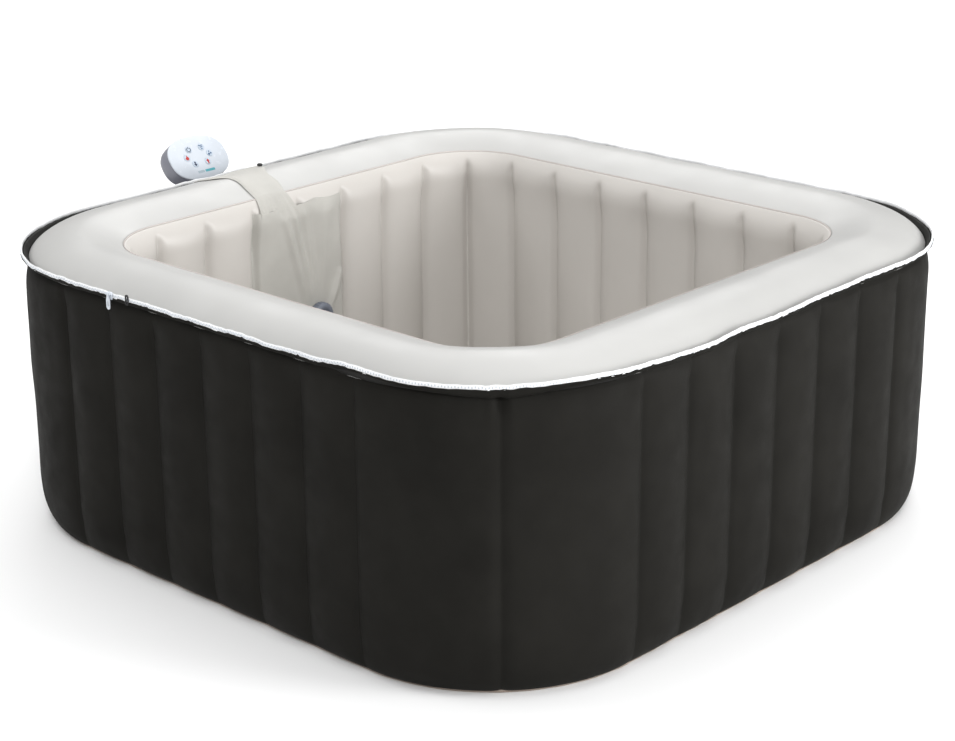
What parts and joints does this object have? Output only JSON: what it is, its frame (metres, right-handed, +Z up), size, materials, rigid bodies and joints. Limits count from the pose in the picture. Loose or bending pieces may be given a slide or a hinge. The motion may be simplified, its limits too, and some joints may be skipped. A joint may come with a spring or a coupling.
{
  "type": "inflatable hot tub",
  "caption": "Square inflatable hot tub with round corners, an upright-channel jacket, a zipped rim, a hose cover over one wall and a pump and heater unit with a control head.",
  "frame": {"origin": "centre of the tub's underside, on the floor", "axes": "+Z up, -X towards the wall with the control unit, -Y towards the side with the zipper slider"},
  "size_m": [1.982, 1.6463, 0.6885],
  "materials": {
    "jacket": "matt charcoal brown coated cloth",
    "rim": "satin light warm grey vinyl",
    "liner": "satin greige vinyl",
    "ground_sheet": "matt brown grey vinyl",
    "foam": "soft closed-cell foam",
    "web_sheet": "welded vinyl sheet",
    "zipper": "white woven tape and moulded teeth",
    "cover_cloth": "soft coated cloth",
    "dark_plastic": "textured",
    "fitting_plastic": "blue grey moulded plastic",
    "filter_paper": "pleated filter felt",
    "shell_plastic": "fine textured moulding",
    "face_plate": "gloss",
    "button_plastic": "satin",
    "board": "lacquered",
    "steel": "brushed",
    "rubber": "matt",
    "motor_metal": "satin"
  },
  "bodies": {
    "tub": {"outer_jacket": "jacket", "rim_skin": "rim", "floor_sheet": "liner", "inner_wall": "liner", "bubble_duct": "liner", "bottom_sheet": "ground_sheet", "floor_pad": "foam", "outer_wall": "web_sheet", "webs_right": "web_sheet", "webs_back": "web_sheet", "webs_left": "web_sheet", "webs_front": "web_sheet", "zipper_tape": "zipper", "hose_cover": "cover_cloth", "air_valve_base": "dark_plastic", "unit_base": "dark_plastic", "blower_housing": "dark_plastic", "return_sleeve": "fitting_plastic", "suction_sleeve": "fitting_plastic", "air_sleeve": "fitting_plastic", "air_elbow": "fitting_plastic", "filter_cup": "fitting_plastic", "drain_sleeve": "fitting_plastic", "suction_pipe": "fitting_plastic", "transfer_pipe": "fitting_plastic", "return_pipe": "fitting_plastic", "check_valve_body": "fitting_plastic", "air_pipe": "fitting_plastic", "unit_shell": "shell_plastic", "head_shell": "shell_plastic", "head_neck": "shell_plastic", "head_face": "face_plate", "circuit_board": "board", "heater_tube": "steel", "zipper_end_loop": "rubber", "press_stud": "rubber", "mains_gland": "rubber", "pump_housing": "motor_metal", "pump_motor": "motor_metal"},
    "zipper_slider": {"zipper_slider": "zipper"},
    "zipper_pull": {"zipper_pull": "zipper"},
    "return_grille": {"return_grille": "fitting_plastic"},
    "filter_cartridge": {"filter_cartridge": "filter_paper"},
    "filter_cap": {"filter_cap": "fitting_plastic"},
    "return_union_nut": {"return_union_nut": "dark_plastic"},
    "suction_union_nut": {"suction_union_nut": "dark_plastic"},
    "air_union_nut": {"air_union_nut": "dark_plastic"},
    "drain_plug": {"drain_plug": "rubber"},
    "drain_cap": {"drain_cap": "dark_plastic"},
    "air_valve_plunger": {"air_valve_plunger": "fitting_plastic"},
    "air_valve_cap": {"air_valve_cap": "dark_plastic"},
    "pump_impeller": {"pump_impeller": "fitting_plastic"},
    "blower_fan": {"blower_fan": "fitting_plastic"},
    "check_valve_flap": {"check_valve_flap": "rubber"},
    "button_power": {"button_power": "button_plastic"},
    "button_filter": {"button_filter": "button_plastic"},
    "button_heater": {"button_heater": "button_plastic"},
    "button_bubbles": {"button_bubbles": "button_plastic"},
    "button_cooler": {"button_cooler": "button_plastic"},
    "button_warmer": {"button_warmer": "button_plastic"}
  },
  "joints": [
    {"name": "zipper_slide", "type": "slide", "parent": "tub", "child": "zipper_slider", "axis": [-1, 0, 0], "range_m": [-0.035, 0.17]},
    {"name": "zipper_pull_swing", "type": "hinge", "parent": "zipper_slider", "child": "zipper_pull", "pos_m": [-0.248, -0.8255, 0.629], "axis": [-1, 0, 0], "range_deg": [0, 165]},
    {"name": "return_grille_turn", "type": "hinge", "parent": "tub", "child": "return_grille", "pos_m": [-0.55, 0.035, 0.306], "axis": [1, 0, 0], "range_deg": [0, 90]},
    {"name": "filter_pull_out", "type": "slide", "parent": "tub", "child": "filter_cartridge", "axis": [1, 0, 0], "range_m": [0, 0.1]},
    {"name": "filter_cap_turn", "type": "hinge", "parent": "filter_cartridge", "child": "filter_cap", "pos_m": [-0.49, -0.071, 0.2], "axis": [1, 0, 0], "range_deg": [0, 45]},
    {"name": "return_nut_turn", "type": "hinge", "parent": "tub", "child": "return_union_nut", "pos_m": [-0.835, 0.035, 0.306], "axis": [1, 0, 0], "range_deg": [0, 360]},
    {"name": "suction_nut_turn", "type": "hinge", "parent": "tub", "child": "suction_union_nut", "pos_m": [-0.835, -0.071, 0.2], "axis": [1, 0, 0], "range_deg": [0, 360]},
    {"name": "air_nut_turn", "type": "hinge", "parent": "tub", "child": "air_union_nut", "pos_m": [-0.835, 0.105, 0.12], "axis": [1, 0, 0], "range_deg": [0, 360]},
    {"name": "drain_plug_pull", "type": "slide", "parent": "tub", "child": "drain_plug", "axis": [1, 0, 0], "range_m": [0, 0.045]},
    {"name": "drain_cap_turn", "type": "hinge", "parent": "tub", "child": "drain_cap", "pos_m": [-0.83, 0.355, 0.07], "axis": [1, 0, 0], "range_deg": [0, 360]},
    {"name": "air_valve_press", "type": "slide", "parent": "tub", "child": "air_valve_plunger", "axis": [1, 0, 0], "range_m": [0, 0.005], "stiffness_N_per_m": 200, "springref_m": -0.003},
    {"name": "air_valve_cap_turn", "type": "hinge", "parent": "tub", "child": "air_valve_cap", "pos_m": [-0.83, -0.355, 0.45], "axis": [1, 0, 0], "range_deg": [0, 90]},
    {"name": "pump_spin", "type": "hinge", "parent": "tub", "child": "pump_impeller", "pos_m": [-0.96, -0.071, 0.2], "axis": [1, 0, 0], "continuous": true},
    {"name": "blower_spin", "type": "hinge", "parent": "tub", "child": "blower_fan", "pos_m": [-0.985, 0.105, 0.12], "axis": [1, 0, 0], "continuous": true},
    {"name": "check_valve_swing", "type": "hinge", "parent": "tub", "child": "check_valve_flap", "pos_m": [-0.9478, 0.105, 0.1303], "axis": [0, -1, 0], "range_deg": [0, 60]},
    {"name": "power_press", "type": "slide", "parent": "tub", "child": "button_power", "axis": [-0.788, 0, -0.6157], "range_m": [0, 0.0015], "stiffness_N_per_m": 400, "springref_m": -0.001},
    {"name": "filter_press", "type": "slide", "parent": "tub", "child": "button_filter", "axis": [-0.788, 0, -0.6157], "range_m": [0, 0.0015], "stiffness_N_per_m": 400, "springref_m": -0.001},
    {"name": "heater_press", "type": "slide", "parent": "tub", "child": "button_heater", "axis": [-0.788, 0, -0.6157], "range_m": [0, 0.0015], "stiffness_N_per_m": 400, "springref_m": -0.001},
    {"name": "bubbles_press", "type": "slide", "parent": "tub", "child": "button_bubbles", "axis": [-0.788, 0, -0.6157], "range_m": [0, 0.0015], "stiffness_N_per_m": 400, "springref_m": -0.001},
    {"name": "cooler_press", "type": "slide", "parent": "tub", "child": "button_cooler", "axis": [-0.788, 0, -0.6157], "range_m": [0, 0.0015], "stiffness_N_per_m": 400, "springref_m": -0.001},
    {"name": "warmer_press", "type": "slide", "parent": "tub", "child": "button_warmer", "axis": [-0.788, 0, -0.6157], "range_m": [0, 0.0015], "stiffness_N_per_m": 400, "springref_m": -0.001}
  ]
}
